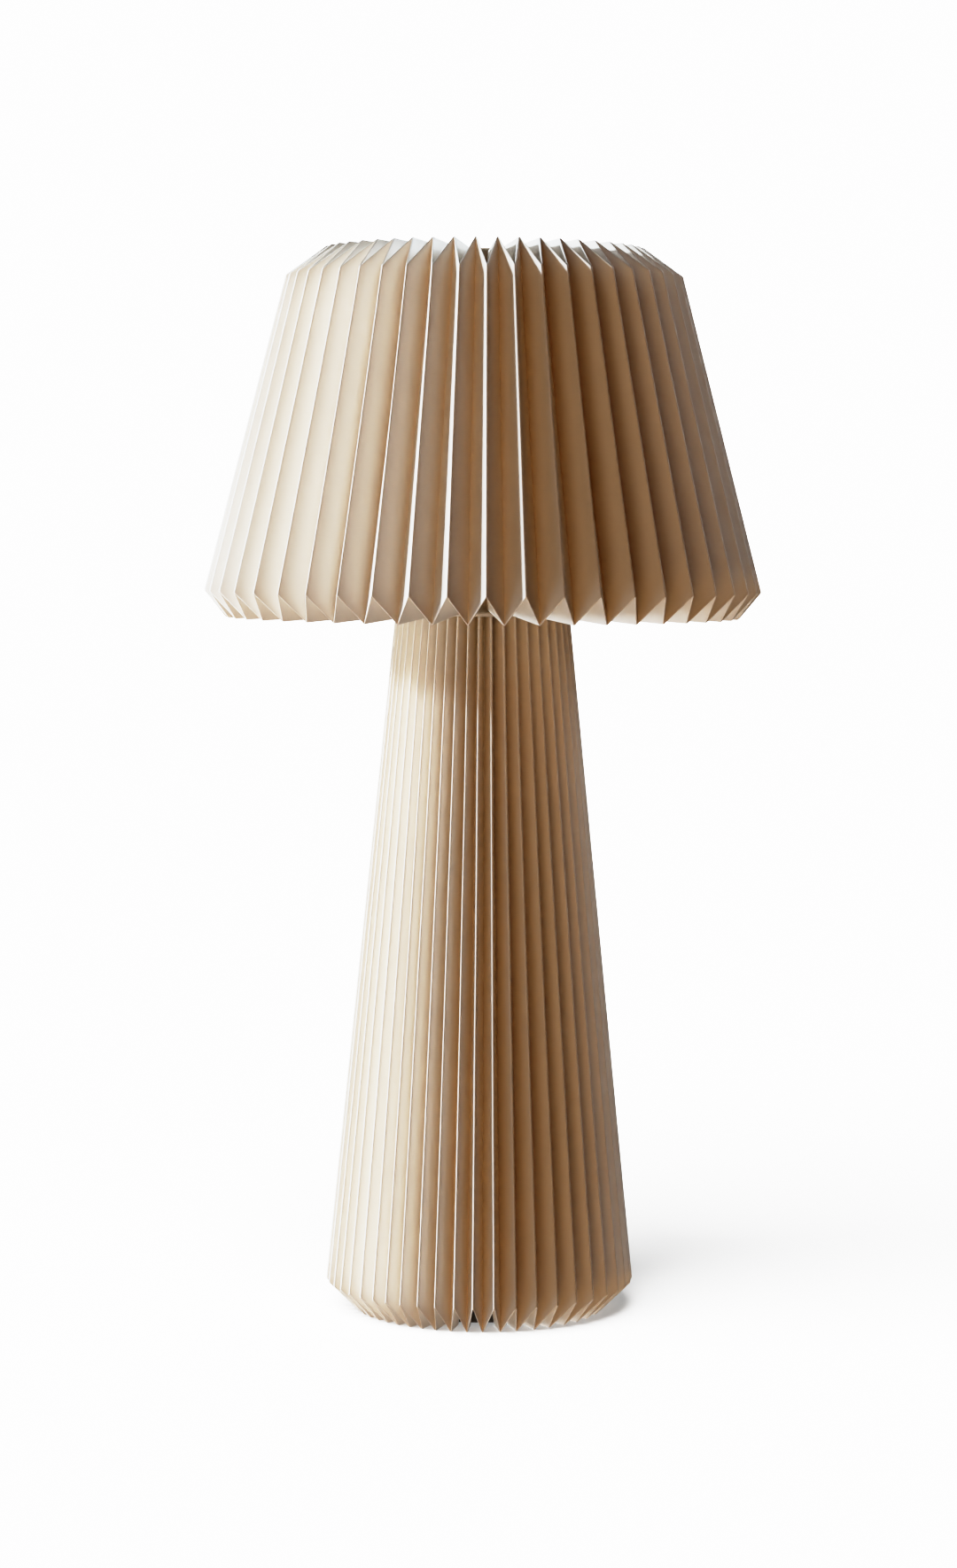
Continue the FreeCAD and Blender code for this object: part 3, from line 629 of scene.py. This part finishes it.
# %% Finishes of the inner parts
finishes = {
    "shade_foil": shade_foil,
    "felt": finish("felt", (0.10, 0.10, 0.11), 0.95, 0.35 * MM, 0.25 * MM, 0.25,
                   stretch=(1, 1, 4), sheen_weight=0.4, sheen_roughness=0.5),
    "cast_weight": finish("cast_weight", (0.055, 0.055, 0.06), 0.6, 1.3 * MM, 0.25 * MM, 0.3),
    "black_rubber": finish("black_rubber", (0.022, 0.022, 0.022), 0.75, 0.3 * MM, 0.03 * MM, 0.15),
    "zinc_steel": finish("zinc_steel", (0.60, 0.62, 0.64), 0.34, 0.12 * MM, 0.004 * MM, 0.1, 1.0,
                         stretch=(1, 1, 0.15)),
    "white_plate": finish("white_plate", (0.80, 0.79, 0.76), 0.42, 0.45 * MM, 0.02 * MM, 0.02),
    "holder_plastic": finish("holder_plastic", (0.80, 0.79, 0.76), 0.3, 0.8 * MM, 0.006 * MM, 0.02),
    "holder_ceramic": finish("holder_ceramic", (0.84, 0.82, 0.78), 0.55, 0.6 * MM, 0.03 * MM, 0.05),
    "contact_brass": finish("contact_brass", (0.72, 0.52, 0.22), 0.3, 0.2 * MM, 0.006 * MM, 0.15,
                            1.0),
    "ring_plastic": finish("ring_plastic", (0.82, 0.75, 0.62), 0.5, 0.5 * MM, 0.01 * MM, 0.02),
    "opal_globe": finish("opal_globe", (0.88, 0.87, 0.84), 0.32, 1.2 * MM, 0.004 * MM, 0.01,
                         subsurface_weight=0.35, subsurface_scale=4 * MM),
    "light_board": finish("light_board", (0.80, 0.82, 0.80), 0.4, 0.6 * MM, 0.01 * MM, 0.03),
    "bulb_plastic": finish("bulb_plastic", (0.85, 0.85, 0.84), 0.35, 0.7 * MM, 0.008 * MM, 0.02),
    "nickel_cap": finish("nickel_cap", (0.66, 0.63, 0.58), 0.24, 0.25 * MM, 0.004 * MM, 0.08, 1.0),
    "black_insulator": finish("black_insulator", (0.02, 0.02, 0.024), 0.16, 1.5 * MM, 0.01 * MM,
                              0.1),
}
slot_of_node = {part["node"]: part["material_slot"] for part in frame["record"]["subparts"]}
for node, solid in frame["nodes"].items():
    solid.data.materials.clear()
    solid.data.materials.append(finishes[slot_of_node[node]])
print("finishes:", len(finishes))

# %% [markdown]
# The bulb's cap is thin sheet metal rolled into a round-crested thread, and only a helix screws
# into a holder. The solid model draws it as plain rings. Here the same roll-up of a grid as for
# the foil winds a real helix: the radius follows a cosine of the height less the turn, and the
# crests fade out at both ends of the threaded part.

# %% The bulb's threaded cap
fade_pitches = 0.6
thread_weld = 0.01 * MM


def screw_thread_tree():
    """A grid rolled up into a tube with a round-crested helix."""
    tree, given, result = start_tree(
        "Screw thread",
        [("Crest radius", "NodeSocketFloat"), ("Root radius", "NodeSocketFloat"),
         ("Pitch", "NodeSocketFloat"), ("Bottom", "NodeSocketFloat"), ("Height", "NodeSocketFloat"),
         ("Threaded height", "NodeSocketFloat"), ("Segments", "NodeSocketInt"),
         ("Rows", "NodeSocketInt"), ("Metal", "NodeSocketMaterial")],
        ("Thread", "NodeSocketGeometry"))
    grid = add_node(tree, "GeometryNodeMeshGrid", 1.0, 1.0,
                    whole(tree, "ADD", given["Segments"], 1), given["Rows"]).outputs
    index = tree.nodes.new("GeometryNodeInputIndex").outputs[0]
    column = whole(tree, "DIVIDE_FLOOR", index, given["Rows"])
    row = whole(tree, "FLOORED_MODULO", index, given["Rows"])
    rounds = sum_of(tree, "DIVIDE", column, given["Segments"])
    rise = sum_of(tree, "DIVIDE", sum_of(tree, "MULTIPLY", row, given["Height"]),
                  whole(tree, "SUBTRACT", given["Rows"], 1))
    phase = sum_of(tree, "SUBTRACT", sum_of(tree, "DIVIDE", rise, given["Pitch"]), rounds)
    wave = sum_of(tree, "MULTIPLY_ADD",
                  sum_of(tree, "COSINE", sum_of(tree, "MULTIPLY", phase, 2 * math.pi)), -0.5, 0.5)
    to_end = sum_of(tree, "MINIMUM", rise,
                    sum_of(tree, "SUBTRACT", given["Threaded height"], rise))
    fade = add_node(tree, "ShaderNodeMapRange", to_end, 0.0,
                    sum_of(tree, "MULTIPLY", given["Pitch"], fade_pitches), 0.0, 1.0,
                    interpolation_type="SMOOTHSTEP").outputs[0]
    depth = sum_of(tree, "SUBTRACT", given["Crest radius"], given["Root radius"])
    radius = sum_of(tree, "MULTIPLY_ADD", sum_of(tree, "MULTIPLY", wave, fade), depth,
                    given["Root radius"])
    level = sum_of(tree, "ADD", rise, given["Bottom"])
    start = add_node(tree, "ShaderNodeCombineXYZ", radius, 0.0, level).outputs[0]
    placed = add_node(tree, "ShaderNodeVectorRotate", start, None,
                      sum_of(tree, "MULTIPLY", rounds, 2 * math.pi),
                      rotation_type="Z_AXIS").outputs[0]
    rolled = add_node(tree, "GeometryNodeSetPosition", grid["Mesh"], None, placed).outputs[0]
    closed = add_node(tree, "GeometryNodeMergeByDistance", rolled, None, thread_weld).outputs[0]
    smooth = add_node(tree, "GeometryNodeSetShadeSmooth", closed).outputs[0]
    real = add_node(tree, "GeometryNodeRealizeInstances", smooth).outputs[0]
    feed(tree, result, add_node(tree, "GeometryNodeSetMaterial", real, None,
                                given["Metal"]).outputs[0])
    return tree


cap_pitch = 3.629 * MM
cap_turns = 4
cap_wall = 0.5 * MM
cap_root_radius = 11.8 * MM
thread_segments, thread_rows = 72, 100
cap_low, cap_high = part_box("bulb_screw_cap")
bulb_thread = plain_mesh("bulb_thread", screw_thread_tree(), {
    "Crest radius": cap_high.x - cap_wall / 2, "Root radius": cap_root_radius,
    "Pitch": cap_pitch, "Bottom": cap_low.z, "Height": cap_high.z - cap_low.z,
    "Threaded height": cap_turns * cap_pitch, "Segments": thread_segments, "Rows": thread_rows,
    "Metal": finishes["nickel_cap"]}, cap_wall)
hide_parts("bulb_screw_cap")
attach(bulb_thread, "bulb")
print("thread:", [round(value / MM, 2) for value in bulb_thread.dimensions])

# %% [markdown]
# The photograph was developed like a print: dark parts are a little deeper than they were, and
# the brightest run together near white instead of being cut off. One curve on the finished
# picture does the same here, for every colour alike. Each pair is a light and the tone that it is
# printed as.

# %% Print curve
print_curve = ((0.03, 0.015), (0.06, 0.036), (0.12, 0.085), (0.2, 0.163), (0.3, 0.28),
               (0.4, 0.41), (0.5, 0.54), (0.6, 0.649), (0.7, 0.731), (0.8, 0.793),
               (0.9, 0.838), (1.0, 0.870), (1.2, 0.904), (1.4, 0.924), (1.7, 0.944),
               (2.0, 0.958), (2.5, 0.974), (3.0, 0.986))
print_white = 3.6
curve_for_every_colour = 3
view = bpy.context.scene.view_settings
view.view_transform = "Standard"
view.use_curve_mapping = True
view.curve_mapping.white_level = (print_white, print_white, print_white)
curve = view.curve_mapping.curves[curve_for_every_colour]
for light, tone in print_curve:
    curve.points.new(light / print_white, tone)
view.curve_mapping.update()
print("print curve:", len(curve.points), "points")

# %% [markdown]
# The stage is a plain pale floor that melts into a white room. The floor glows a little by
# itself, so that only a breath of the lamp's shadow shows on it, as in the photograph. Room and
# floor look white to the camera but light nothing: that is left to the lamps.

# %% Floor and room
floor_size = 24.0
floor_corners = [(side * floor_size / 2, depth * floor_size / 2, 0)
                 for side, depth in ((-1, -1), (1, -1), (1, 1), (-1, 1))]
floor_mesh = bpy.data.meshes.new("floor")
floor_mesh.from_pydata(floor_corners, [], [(0, 1, 2, 3)])
floor = bpy.data.objects.new("floor", floor_mesh)
bpy.context.scene.collection.objects.link(floor)
floor.visible_diffuse = False
floor.visible_glossy = False
floor.visible_transmission = False
floor_paint, _, floor_shader = new_material("floor_paint")
floor_grey = 0.5
room_white = 3.0
floor_lit_share = 0.9
floor_glow = room_white * (1 - floor_lit_share)
floor_shader.inputs["Base Color"].default_value = (floor_grey, floor_grey, floor_grey, 1)
floor_shader.inputs["Roughness"].default_value = 1.0
floor_shader.inputs["Specular IOR Level"].default_value = 0.0
floor_shader.inputs["Emission Color"].default_value = (1, 1, 1, 1)
floor_shader.inputs["Emission Strength"].default_value = floor_glow
floor_mesh.materials.append(floor_paint)

world = bpy.data.worlds.new("room")
bpy.context.scene.world = world
world.use_nodes = True
room_tree = world.node_tree
room_tree.nodes.clear()
dark = add_node(room_tree, "ShaderNodeBackground", (0, 0, 0, 1), 0.0).outputs[0]
bright = add_node(room_tree, "ShaderNodeBackground", (1, 1, 1, 1), room_white).outputs[0]
seen = add_node(room_tree, "ShaderNodeLightPath").outputs["Is Camera Ray"]
room = add_node(room_tree, "ShaderNodeMixShader", seen, dark, bright).outputs[0]
add_node(room_tree, "ShaderNodeOutputWorld", room)
print("floor:", floor_size, "m wide")

# %% [markdown]
# The lamp was photographed beside a window on its left: a narrow light makes the bright edges of
# the folds, wide soft ones stand in for the walls and the floor around, and those from the dim
# side of the room are warm. Each is a distant lamp with a wide face, and its row in the table
# gives where it stands as azimuth and elevation, how wide it looks, all in degrees, and then its
# strength and colour. Some stand below the floor, as the light that it would throw back. So these
# lamps neither light the floor nor are stopped by it. The floor has a lamp of its own, just strong
# enough to make it as white as the room, which gives it the faint shadow of the picture.

# %% Lights
def all_but_floor(name):
    """A collection that stands for everything except the floor."""
    made = bpy.data.collections.new(name)
    made.objects.link(floor)
    made.collection_objects[0].light_linking.link_state = "EXCLUDE"
    return made


lit_things, shading_things = all_but_floor("lit_things"), all_but_floor("shading_things")
only_floor = bpy.data.collections.new("only_floor")
only_floor.objects.link(floor)


def toward(azimuth, elevation):
    """The direction of a place seen from the lamp: azimuth from the front, positive right."""
    turn, rise = math.radians(azimuth), math.radians(elevation)
    return Vector((math.sin(turn) * math.cos(rise), -math.cos(turn) * math.cos(rise),
                   math.sin(rise)))


def distant_lamp(name, azimuth, elevation, width, strength, colour, receivers, blockers=None):
    """A lamp far away, width degrees across. At strength 1, what faces it has its own colour."""
    data = bpy.data.lights.new(name, "SUN")
    data.energy = math.pi * strength
    data.color = colour
    data.angle = math.radians(width)
    made = bpy.data.objects.new(name, data)
    bpy.context.scene.collection.objects.link(made)
    made.rotation_euler = toward(azimuth, elevation).to_track_quat("Z", "Y").to_euler()
    made.light_linking.receiver_collection = receivers
    made.light_linking.blocker_collection = blockers


daylight, white, plain = (0.825, 0.93, 1.05), (1, 1, 1), (1, 0.99, 0.92)
warm, ember = (1, 0.66, 0.30), (1, 0.30, 0)
lamps = (
    ("window", -86, 22, 4, 0.88, daylight),
    ("left_wall_low", -100, -5, 30, 0.80, daylight),
    ("left_wall", -100, 25, 30, 0.30, daylight),
    ("floor_on_the_left", -70, -35, 30, 0.13, daylight),
    ("ceiling", -40, 35, 30, 0.055, plain),
    ("warm_floor", -15, -40, 30, 0.215, warm),
    ("warm_floor_on_the_right", 30, -30, 30, 0.04, ember),
    ("warm_front", -10, 15, 30, 0.035, ember),
    ("right_wall", 100, 5, 30, 0.09, plain),
    ("back_wall", 140, 25, 30, 0.78, daylight),
    ("floor_below", 0, -88, 30, 0.24, daylight),
)
for name, azimuth, elevation, width, strength, colour in lamps:
    distant_lamp(name, azimuth, elevation, width, strength, colour, lit_things, shading_things)
floor_lamp_azimuth, floor_lamp_height, floor_lamp_width = -35, 55, 50
floor_light = room_white * floor_lit_share / floor_grey / toward(0, floor_lamp_height).z
distant_lamp("floor_lamp", floor_lamp_azimuth, floor_lamp_height, floor_lamp_width, floor_light,
             white, only_floor)
print("lamps:", len(lamps) + 1)

# %% [markdown]
# The camera stands level, a little under two metres away and a little to the left of the front,
# with a long lens. Its height is read from the photograph: the eye is where the shade's two
# edges look equally flat. The picture is framed by a shift, not by tilting the camera, so upright
# lines stay upright, and a small roll matches the photograph's slight lean. Light may bounce often,
# because it reaches the depth of a fold only from side to side.

# %% Camera
image_height = 1770
horizon_row = 579
focal_pixels = 3963
sensor = 36.0
camera_data = bpy.data.cameras.new("camera")
camera_data.sensor_width = sensor
camera_data.lens = focal_pixels / image_height * sensor
camera_data.shift_y = (horizon_row - image_height / 2) / image_height
camera_data.clip_start = 0.05
camera_data.clip_end = 60.0
camera = bpy.data.objects.new("camera", camera_data)
bpy.context.scene.collection.objects.link(camera)
eye_distance = 1.896
eye_height = 0.427
eye_azimuth = math.radians(-0.8)
roll = math.radians(0.3)
axis_columns = 5.1
axis_offset = axis_columns / focal_pixels
camera.location = (eye_distance * math.sin(eye_azimuth), -eye_distance * math.cos(eye_azimuth),
                   eye_height)
level = Euler((math.pi / 2, 0, eye_azimuth + axis_offset)).to_matrix()
camera.rotation_euler = (level @ Matrix.Rotation(roll, 3, "Z")).to_euler()
bpy.context.scene.camera = camera
all_bounces, matt_bounces = 12, 8
bpy.context.scene.cycles.max_bounces = all_bounces
bpy.context.scene.cycles.diffuse_bounces = matt_bounces
print("lens:", round(camera_data.lens, 1), "mm")
